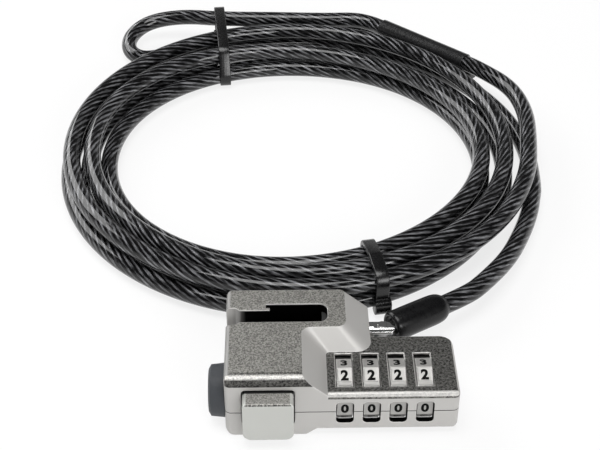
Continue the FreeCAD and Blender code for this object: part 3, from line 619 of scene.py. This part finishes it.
# %% Wound strands
wires_each_metre, wire_slant = 700.0, 1.6
streaks_round, streaks_each_metre = 4.0, 260.0
rope_group, rope_in, rope_out = new_group("wire_rope", {"Lay": 0.042, "Strands": 11.0},
                                          Height="Float", Wire="Float", Streak="Float")
chart = put(rope_group, "ShaderNodeUVMap", uv_map="along_and_round").outputs[0]
chart = put(rope_group, "ShaderNodeSeparateXYZ", {0: chart}).outputs
wound = plus(rope_group, chart["Y"], maths(rope_group, "DIVIDE", chart["X"], rope_in["Lay"]))
part = maths(rope_group, "FRACT", times(rope_group, wound, rope_in["Strands"]))
off = minus(rope_group, times(rope_group, part, 2.0), 1.0)
crown = minus(rope_group, 1.0, times(rope_group, off, off))
wires = times(rope_group, chart["X"], wires_each_metre)
wires = plus(rope_group, wires, times(rope_group, off, wire_slant))
wave = maths(rope_group, "SINE", times(rope_group, wires, FULL_TURN))
swing = times(rope_group, wound, FULL_TURN)
winding = put(rope_group, "ShaderNodeCombineXYZ", {
    0: times(rope_group, maths(rope_group, "COSINE", swing), streaks_round),
    1: times(rope_group, maths(rope_group, "SINE", swing), streaks_round),
    2: times(rope_group, chart["X"], streaks_each_metre)}).outputs[0]
streak = put(rope_group, "ShaderNodeTexNoise", {"Vector": winding, "Scale": 1.0, "Detail": 2.0}).outputs[0]
wire = plus(rope_group, times(rope_group, wave, 0.5), 0.5)
fill(rope_group, rope_out, {"Height": crown, "Wire": wire, "Streak": streak})
print("nodes in the rope's group", len(rope_group.nodes))

# %% [markdown]
# In the jacket's base, the crown of each strand gets a painted highlight and the furrow beside it painted
# shade, and the fine wires get thin lines of painted shade between them. Squaring that painted light keeps
# the furrows black and the highlights narrow. The base is only partly metal and doesn't shine of its own,
# so that the smooth coat alone draws the long highlights.

# %% Wire rope under its jacket
streak_strength, wire_strength = 1.9, 0.3


def jacketed_rope():
    material, tree, shader = new_material("jacketed_rope")
    rope = use_group(tree, rope_group)
    streaks = times(tree, minus(tree, rope["Streak"], 0.5), streak_strength)
    # Painted highlight on each strand's crown, painted shade in its furrows.
    painted_strand_light = remap(tree, plus(tree, rope["Height"], streaks), 0.55, 1.25)
    colour = blend_colour(tree, times(tree, painted_strand_light, painted_strand_light), (0.0008, 0.0008, 0.0008), (0.27, 0.272, 0.285))
    # Painted shade in the grooves between the fine wires.
    colour = blend_colour(tree, times(tree, rope["Wire"], wire_strength), colour, (0.004, 0.004, 0.005))
    bump = put(tree, "ShaderNodeBump", {"Strength": 1.0, "Distance": 0.3 * MM, "Height": rope["Height"]})
    fill(tree, shader, {"Base Color": colour, "Normal": bump.outputs[0], "Metallic": 0.3, "Roughness": 0.5,
                        "Specular IOR Level": 0.0, "Coat Weight": 1.0, "Coat Roughness": 0.07,
                        "Coat IOR": 1.45})
    return material


dress(jacketed_rope(), "cable")

# %% [markdown]
# Three dark plastics: nylon for the ties, with fine lines along them from the mould, a smooth vinyl for
# the boot, and a shrunk sleeve over the crimp. The knob is a matt blue-grey plastic, and the pad at the end
# of the slot is rubber. They differ in gloss, in their grain and in how dark they are.

# %% Plastics and rubber


def moulded(name, colour, roughness, grain_size, depth, coat=0.0, tint=1.6, ribs=0.0, shine=0.5):
    """A moulded finish. Its grain, its depth and the spacing of its ribs are in millimetres."""
    material, tree, shader = new_material(name)
    grain = use_group(tree, grain_group, Size=grain_size * MM)
    rubbed = use_group(tree, handling_group, Size=7 * MM, Amount=0.8)["Value"]
    edge = use_group(tree, edge_group, Radius=0.3 * MM)
    # Lighter at random from wear, and along edges, which is rubbed wear and a painted highlight.
    share = plus(tree, rubbed, times(tree, edge["Edge"], 0.5), clamp=True)
    tone = blend_colour(tree, share, colour, [c * tint + 0.004 for c in colour])
    height = grain["Height"]
    if ribs:
        spot, _ = surface(tree)
        wave = maths(tree, "SINE", times(tree, spot["X"], FULL_TURN / (ribs * MM)))
        height = plus(tree, height, times(tree, wave, 0.4))
    fill(tree, shader, {
        "Base Color": tone, "Normal": emboss(tree, height, depth * MM, edge["Normal"], 0.7),
        "Roughness": remap(tree, grain["Speckle"], 0, 1, roughness * 0.85, roughness * 1.15),
        "Coat Weight": coat, "Coat Roughness": 0.1, "Specular IOR Level": shine})
    return material


dress(moulded("crimp_shrink", (0.007, 0.007, 0.0075), 0.3, 0.9, 0.04, coat=0.4), "crimp_sleeve")
dress(moulded("knob_plastic", (0.04, 0.0435, 0.049), 0.55, 0.35, 0.02, shine=0.35), "end_knob")
dress(moulded("pad_rubber", (0.03, 0.03, 0.03), 0.7, 0.4, 0.04), "slot_pad")

# %% [markdown]
# Each tie is a nylon band pulled tight round every turn of the cable that crosses it, with its head low on
# the outer side. The places where the cable crosses the tie's plane are read from the cable's own line. A
# taut band takes the shortest way round them, which is their hull, rounded by the cable's thickness.

# %% A tie's outline
tie_width, tie_thickness, tie_gap, tie_top_extra = 3.6, 0.9, 0.1, 0.5
tie_places = {"front": (39.2, 58.2, -80.5), "rear": (-5.8, 177.7, 95.0)}
tie_reach = 30
corner_steps = 6


def crossings(base, along, across):
    """Where the cable passes through a tie's plane, as (distance along, height)."""
    spots = []
    for a, b in zip(cable_line, cable_line[1:]):
        off_a, off_b = (a - base).dot(across), (b - base).dot(across)
        if off_a * off_b <= 0 and off_a != off_b:
            place = a.lerp(b, off_a / (off_a - off_b))
            if abs((place - base).dot(along)) < tie_reach * MM:
                spots.append(Vector(((place - base).dot(along), place.z)))
    return spots


def hull(spots):
    """The corners of the shortest line round the spots, counterclockwise."""
    corners = [spots[k] for k in convex_hull_2d(spots)]
    area = sum(a.x * b.y - a.y * b.x for a, b in zip(corners, corners[1:] + corners[:1]))
    return corners if area > 0 else corners[::-1]


def rounded_outline(corners, reach, extra):
    """An outline at a distance outside a hull, with round corners, and a little further out at the top."""
    points = []
    for i, corner in enumerate(corners):
        came, goes = corner - corners[i - 1], corners[(i + 1) % len(corners)] - corner
        first = math.atan2(-came.x, came.y)
        sweep = (math.atan2(-goes.x, goes.y) - first) % FULL_TURN
        for k in range(corner_steps + 1):
            turn = first + sweep * k / corner_steps
            away = Vector((math.cos(turn), math.sin(turn)))
            points.append(corner + away * (reach + extra * (1 + away.y) / 2))
    return points


for place_name, (x, y, angle) in tie_places.items():
    along = heading(angle)
    print(place_name, "tie crosses", len(crossings(at(x, y, 0), along, UP.cross(along))), "turns")

# %% [markdown]
# The band is four strips of faces between two outlines, an inner and an outer one. The head is a short block
# with a slanted outline and a slot in its face, where the band's end goes through. A bevel rounds every edge.

# %% Cable ties
tie_head_width = 4.6
tie_head = [(-0.4, 1.1), (1.5, 0.8), (2.5, 1.2), (3.1, 2.2), (3.1, 4.6), (2.6, 5.4), (-0.4, 5.6)]
slot_side = 3
slot_border, slot_taper, slot_depth = 0.6, 0.05, 0.8
low_turns = 1.5


def round_edges(piece, width, segments, angle=30):
    """A small bevel on every edge sharper than the angle."""
    soft = piece.modifiers.new("edges", "BEVEL")
    soft.width = width * MM
    soft.segments = segments
    soft.limit_method = "ANGLE"
    soft.angle_limit = math.radians(angle)
    return soft


def add_band(mesh, base, along, across, corners, inner):
    rings = []
    for reach, extra in ((inner, 0), (inner + tie_thickness * MM, tie_top_extra * MM)):
        for side in (-1, 1):
            edge = base + across * side * tie_width / 2 * MM
            rings.append([mesh.verts.new(edge + along * p.x + UP * p.y)
                          for p in rounded_outline(corners, reach, extra)])
    for one, two, soft in ((0, 1, True), (2, 3, True), (0, 2, False), (1, 3, False)):
        for face in join_rings(mesh, rings[one], rings[two]):
            face.smooth = soft


def add_head(mesh, base, along, across):
    ends = []
    for side in (-1, 1):
        edge = base + across * side * tie_head_width / 2 * MM
        ends.append([mesh.verts.new(edge + (along * a + UP * z) * MM) for a, z in tie_head])
        mesh.faces.new(ends[-1])
    slot_face = join_rings(mesh, *ends)[slot_side]
    bmesh.ops.recalc_face_normals(mesh, faces=mesh.faces)
    bmesh.ops.inset_individual(mesh, faces=[slot_face], thickness=slot_border * MM, depth=0)
    bmesh.ops.inset_individual(mesh, faces=[slot_face], thickness=slot_taper * MM, depth=-slot_depth * MM)


def cable_tie(name, place):
    x, y, angle = place
    base, along = at(x, y, 0), heading(angle)
    across = UP.cross(along)
    corners = hull(crossings(base, along, across))
    inner = cable_radius + tie_gap * MM
    outer = max(c.x for c in corners if c.y < (low_layer + low_turns) * MM) + inner
    mesh = bmesh.new()
    add_band(mesh, base, along, across, corners, inner)
    add_head(mesh, base + along * outer, along, across)
    tie = finished(name, mesh)
    round_edges(tie, 0.18, 3, 25)
    return tie


nylon = moulded("tie_nylon", (0.002, 0.002, 0.0023), 0.27, 0.5, 0.01, tint=1.3, ribs=0.9)
for place_name, place in tie_places.items():
    tie = cable_tie("cable_tie_" + place_name, place)
    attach(tie, "cable")
    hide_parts("tie_" + place_name)
    dress(nylon, tie.name)

# %% [markdown]
# The boot is a soft sleeve over the cable's terminal, turned about its own axis: a rolled lip where the
# tongue comes out, a plain barrel, and a rounded shoulder down to the cable. A turned outline with close
# points keeps both ends soft, where the plain solid has a few flat bands.

# %% Boot
boot_along = heading(30)
boot_base = at(40.3, 28.7, 7.7) + boot_along * 3.75 * MM
boot_sides = 56
boot_face = 0.2
boot_outline = [(0.2, 2.5), (0.0, 2.85), (-0.35, 2.98), (-0.65, 3.1), (-0.8, 3.3), (-0.72, 3.58),
                (-0.48, 3.84), (-0.1, 4.02), (0.4, 4.1), (4.0, 4.12), (8.0, 4.1), (11.5, 4.08), (13.0, 4.02),
                (14.1, 3.86), (14.9, 3.6), (15.6, 3.2), (16.05, 2.86), (16.3, 2.74), (16.4, 2.66),
                (15.6, 2.64)]


def turned_piece(name, face, outline, base, along, sides):
    """A mesh of revolution from a face's middle through (distance along, radius) points in millimetres."""
    mesh = bmesh.new()
    tip = mesh.verts.new(base + along * face * MM)
    rings = [ring_around(mesh, base + along * distance * MM, along, radius * MM, sides)
             for distance, radius in outline]
    for a, b in zip(rings[0], rings[0][1:] + rings[0][:1]):
        mesh.faces.new((tip, b, a)).smooth = True
    for one, two in zip(rings, rings[1:]):
        for face in join_rings(mesh, one, two):
            face.smooth = True
    bmesh.ops.recalc_face_normals(mesh, faces=mesh.faces)
    return finished(name, mesh)


boot = turned_piece("boot", boot_face, boot_outline, boot_base, boot_along, boot_sides)
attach(boot, "cable")
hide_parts("cable_boot")
vinyl = moulded("boot_vinyl", (0.002, 0.002, 0.0024), 0.3, 1.2, 0.006, coat=0.1, tint=1.3, shine=0.3)
dress(vinyl, "boot")

# %% [markdown]
# The bright metals: chrome on the swivel stem and its rivet, and plain machined steel on what is inside.
# Turned or ground steel shows fine lines, so its roughness and relief come from a noise that is squeezed
# along one direction.

# %% Chrome and steel


def bright_metal(name, colour, roughness, line_size, depth, stretch=(1.0, 1.0, 1.0)):
    """Bare metal with fine lines. Their size and depth are in millimetres."""
    material, tree, shader = new_material(name)
    place = put(tree, "ShaderNodeTexCoord").outputs["Object"]
    squeezed = put(tree, "ShaderNodeVectorMath", {0: place, 1: stretch}, operation="MULTIPLY").outputs[0]
    lines = put(tree, "ShaderNodeTexNoise",
                {"Vector": squeezed, "Scale": 1 / (line_size * MM), "Detail": 3.0}).outputs[0]
    rubbed = use_group(tree, handling_group, Size=4 * MM, Amount=0.4)["Value"]
    edge = use_group(tree, edge_group, Radius=0.2 * MM)
    fill(tree, shader, {
        "Base Color": blend_colour(tree, plus(tree, rubbed, 0.5), [c * 0.85 for c in colour], colour),
        "Roughness": remap(tree, lines, 0.3, 0.7, roughness * 0.7, roughness * 1.4),
        "Normal": emboss(tree, lines, depth * MM, edge["Normal"], 0.5), "Metallic": 1.0})
    return material


chrome = bright_metal("chrome", (0.82, 0.82, 0.81), 0.07, 0.6, 0.002, (0.15, 1, 1))
dress(chrome, "swivel_stem", "pivot_rivet")
steel = bright_metal("ground_steel", (0.5, 0.5, 0.5), 0.3, 0.2, 0.006, (0.1, 1, 1))
dress(steel, "spindle", "spindle_pin", "locking_bar", "tab_spring", "detent_spring", "shell_screws",
      "cable_terminal", *["code_ring_%d" % number for number in (1, 2, 3, 4)])

# %% [markdown]
# A number on a dial stands on a sunk panel inside a bright frame. Both are worn metal in two tones, so one
# recipe makes them. The frame is rubbed bright, and the panel keeps a darker, duller coat.

# %% Metals of the dials


def dial_metal(name, low, high, metallic, roughness, gloss):
    material, tree, shader = new_material(name)
    edge = use_group(tree, edge_group, Radius=0.2 * MM)
    silk = use_group(tree, grain_group, Size=0.14 * MM)
    rubbed = use_group(tree, handling_group, Size=3 * MM, Amount=1.0)["Value"]
    tone = blend_colour(tree, plus(tree, rubbed, 0.5), low, high)
    fill(tree, shader, {
        # Brighter edges: rubbed wear and a painted highlight.
        "Base Color": blend_colour(tree, edge["Edge"], tone, (0.7, 0.69, 0.67)),
        "Normal": emboss(tree, silk["Height"], 0.006 * MM, edge["Normal"], 0.6),
        "Metallic": metallic, "Roughness": roughness, "Specular IOR Level": gloss})
    return material


frame_metal = dial_metal("dial_frame_metal", (0.3, 0.296, 0.285), (0.45, 0.44, 0.425), 0.5, 0.4, 0.5)
panel_metal = dial_metal("dial_panel_metal", (0.07, 0.069, 0.0665), (0.14, 0.138, 0.1335), 0.1, 0.6, 0.1)
print(frame_metal.name, panel_metal.name)

# %% [markdown]
# Each number dial is a ring with ten flat faces. A face is a shallow framed plate: its border stands a tenth
# of a millimetre proud and catches the light. The rings are cut in code, face by face, and their edges are
# rounded with a bevel.

# %% Number dials
dial_x = [29.4 + 6.55 * i for i in range(4)]
dial_y, dial_z = 8.0, 7.7
dial_apothem, dial_width, dial_bore = 7.08, 3.86, 5.0
dial_flats = 10
plate_length = 4.0
plate_sunk, plate_border = 0.1, 0.34


def dial_row(mesh, x, reach, turns):
    """Points round the dials' axis, starting at the front and going up."""
    places = [at(x, dial_y - reach * math.cos(turn), dial_z + reach * math.sin(turn)) for turn in turns]
    return [mesh.verts.new(place) for place in places]


def dial_ring(name, middle_x):
    """A ring of ten plates, with their panels sunk and given the second material."""
    mesh = bmesh.new()
    reach = math.hypot(dial_apothem, plate_length / 2)
    lean = math.atan2(plate_length / 2, dial_apothem)
    turns = [FULL_TURN / dial_flats * k + way * lean for k in range(dial_flats) for way in (-1, 1)]
    sides = [middle_x + way * dial_width / 2 for way in (-1, 1)]
    outer = [dial_row(mesh, x, reach, turns) for x in sides]
    inner = [dial_row(mesh, x, dial_bore, turns) for x in sides]
    plates = join_rings(mesh, *outer)[::2]
    join_rings(mesh, *inner)
    for one, two in zip(outer, inner):
        join_rings(mesh, one, two)
    bmesh.ops.recalc_face_normals(mesh, faces=mesh.faces)
    bmesh.ops.inset_individual(mesh, faces=plates, thickness=plate_border * MM, depth=-plate_sunk * MM,
                               use_even_offset=True)
    for face in plates:
        face.material_index = 1
    dial = finished(name, mesh)
    round_edges(dial, 0.06, 2, 12).harden_normals = True
    return dial


for number, x in enumerate(dial_x, 1):
    ring = dial_ring("number_dial_%d" % number, x)
    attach(ring, "dial_%d" % number)
    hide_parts("number_wheel_%d" % number)
    dress(frame_metal, ring.name)
    ring.data.materials.append(panel_metal)

# %% [markdown]
# The digits are printed, one on each plate, 0 to 9. They read upright from the front, and the next one up
# comes over the top. A text curve gives the shape of each; it is fattened a little, because the real digits
# are bold, turned into a mesh and laid a hair above its plate.

# %% Digits on the dials
digit_size, digit_boldness, digit_thickness, digit_lift = 3.7, 0.17, 0.015, 0.012


def digit_mesh(digit):
    """One digit as a thin mesh, with its middle at the origin."""
    text = bpy.data.curves.new("digit", "FONT")
    text.body = str(digit)
    text.align_x, text.align_y = "CENTER", "CENTER"
    text.size = digit_size * MM
    text.offset = digit_boldness * MM
    text.extrude = digit_thickness * MM
    text.resolution_u = 6
    holder = bpy.data.objects.new("digit", text)
    shape = bpy.data.meshes.new_from_object(holder)
    bpy.data.objects.remove(holder)
    bpy.data.curves.remove(text)
    wide = [v.co.x for v in shape.vertices]
    tall = [v.co.y for v in shape.vertices]
    shape.transform(Matrix.Translation((-(min(wide) + max(wide)) / 2, -(min(tall) + max(tall)) / 2, 0)))
    return shape


def dial_digits(name, middle_x):
    """The ten digits, each on its own plate."""
    mesh = bmesh.new()
    for digit in range(dial_flats):
        turn = FULL_TURN * digit / dial_flats
        outward = Vector((0, -math.cos(turn), math.sin(turn)))
        upward = Vector((0, math.sin(turn), math.cos(turn)))
        centre = at(middle_x, dial_y, dial_z) + outward * (dial_apothem - plate_sunk + digit_lift) * MM
        turned = Matrix((Vector((1, 0, 0)), upward, outward)).transposed().to_4x4()
        shape = digit_mesh(digit)
        shape.transform(Matrix.Translation(centre) @ turned)
        mesh.from_mesh(shape)
        bpy.data.meshes.remove(shape)
    return finished(name, mesh)


def digit_ink():
    material, tree, shader = new_material("digit_ink")
    worn = use_group(tree, handling_group, Size=0.6 * MM, Amount=0.6)["Value"]
    share = plus(tree, worn, 0.1, clamp=True)
    tone = blend_colour(tree, share, (0.002, 0.002, 0.002), (0.02, 0.02, 0.019))
    fill(tree, shader, {"Base Color": tone, "Roughness": 0.8, "Specular IOR Level": 0.1})
    return material


ink = digit_ink()
for number, x in enumerate(dial_x, 1):
    digits = dial_digits("dial_digits_%d" % number, x)
    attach(digits, "dial_%d" % number)
    dress(ink, digits.name)

# %% [markdown]
# Each window in the deck has a fine bright edge on three sides, where the casting was machined after it was
# blasted. It is a narrow strip with a small slope, bent round the window's rear corners and let into the
# deck.

# %% Bright edges of the deck's windows
rim_profile = [(2.28, 13.21), (2.12, 13.22), (2.02, 13.1), (2.0, 12.5), (2.28, 12.5)]
window_half, window_front, window_rear = 2.25, 3.15, 14.8


def window_rim(name, middle_x):
    """A strip up the left side of a window, across its rear and down the right side."""
    mesh = bmesh.new()
    rows = []
    for side, at_rear in ((-1, False), (-1, True), (1, True), (1, False)):
        row = []
        for wide, tall in rim_profile:
            y = window_rear - window_half + wide if at_rear else window_front
            row.append(mesh.verts.new(at(middle_x + side * wide, y, tall)))
        rows.append(row)
    for one, two in zip(rows, rows[1:]):
        join_rings(mesh, one, two)
    mesh.faces.new(rows[0])
    mesh.faces.new(rows[-1])
    bmesh.ops.recalc_face_normals(mesh, faces=mesh.faces)
    rim = finished(name, mesh)
    round_edges(rim, 0.04, 2)
    return rim


rim_metal = bright_metal("rim_metal", (0.5, 0.49, 0.475), 0.35, 0.3, 0.003)
for number, x in enumerate(dial_x, 1):
    rim = window_rim("window_rim_%d" % number, x)
    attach(rim, "head")
    dress(rim_metal, rim.name)
print("materials", len(bpy.data.materials))

# %% [markdown]
# Plain floor, soft light. The floor is white where the camera or a reflection looks at it, and under that it
# is a matt surface that still takes the shadow. Three large soft lamps stand in for the studio's softboxes:
# one behind on the left, which draws the long highlights on the cable, one overhead and one in front. The
# world is pale near the floor and dark above it, so that bright metal has a light and a dark half to mirror.

# %% Floor, lamps and world
floor_reach, floor_drop, floor_glow = 3.0, 0.05 * MM, 0.8


def plain_floor():
    data = bpy.data.meshes.new("floor")
    corners = [(x * floor_reach, y * floor_reach, 0) for x, y in ((-1, -1), (1, -1), (1, 1), (-1, 1))]
    data.from_pydata(corners, [], [(0, 1, 2, 3)])
    floor = into_scene("floor", data)
    floor.location.z = -floor_drop
    material, tree, _ = new_material("white_floor")
    tree.nodes.clear()
    matt = put(tree, "ShaderNodeBsdfDiffuse", {"Color": rgba((0.86, 0.86, 0.86))}).outputs[0]
    glow = put(tree, "ShaderNodeEmission", {"Color": rgba((1, 1, 1)), "Strength": 1.0}).outputs[0]
    path = put(tree, "ShaderNodeLightPath").outputs
    seen = larger(tree, path["Is Camera Ray"], path["Is Glossy Ray"])
    seen = larger(tree, seen, path["Is Transmission Ray"])
    mixed = put(tree, "ShaderNodeMixShader", {0: times(tree, seen, floor_glow), 1: matt, 2: glow})
    put(tree, "ShaderNodeOutputMaterial", {"Surface": mixed.outputs[0]})
    data.materials.append(material)


def soft_lamp(name, place, aim, size, power):
    data = bpy.data.lights.new(name, "AREA")
    data.shape = "RECTANGLE"
    data.size, data.size_y = size
    data.energy = power
    lamp = into_scene(name, data)
    lamp.location = place
    lamp.rotation_euler = (Vector(aim) - Vector(place)).to_track_quat("-Z", "Y").to_euler()


plain_floor()
soft_lamp("left_rear_softbox", (-0.75, 0.75, 0.62), (0, 0.1, 0), (0.95, 0.62), 8.0)
soft_lamp("overhead_softbox", (-0.1, -0.05, 1.0), (0, 0.08, 0), (0.65, 0.55), 7.0)
soft_lamp("front_softbox", (0.5, -0.95, 0.52), (0, 0, 0), (0.8, 0.5), 8.9)
world = bpy.data.worlds.new("studio")
bpy.context.scene.world = world
world.use_nodes = True
sky = world.node_tree
toward = put(sky, "ShaderNodeTexCoord").outputs["Generated"]
height = put(sky, "ShaderNodeSeparateXYZ", {0: toward}).outputs["Z"]
sweep = remap(sky, height, 0.04, 0.25, 0.8, 0.12)
seen = put(sky, "ShaderNodeLightPath").outputs["Is Camera Ray"]
fill(sky, sky.nodes["Background"], {0: larger(sky, sweep, seen), 1: 1.0})
bpy.context.scene.view_settings.view_transform = "Standard"
print("lamps", len(bpy.data.lights))
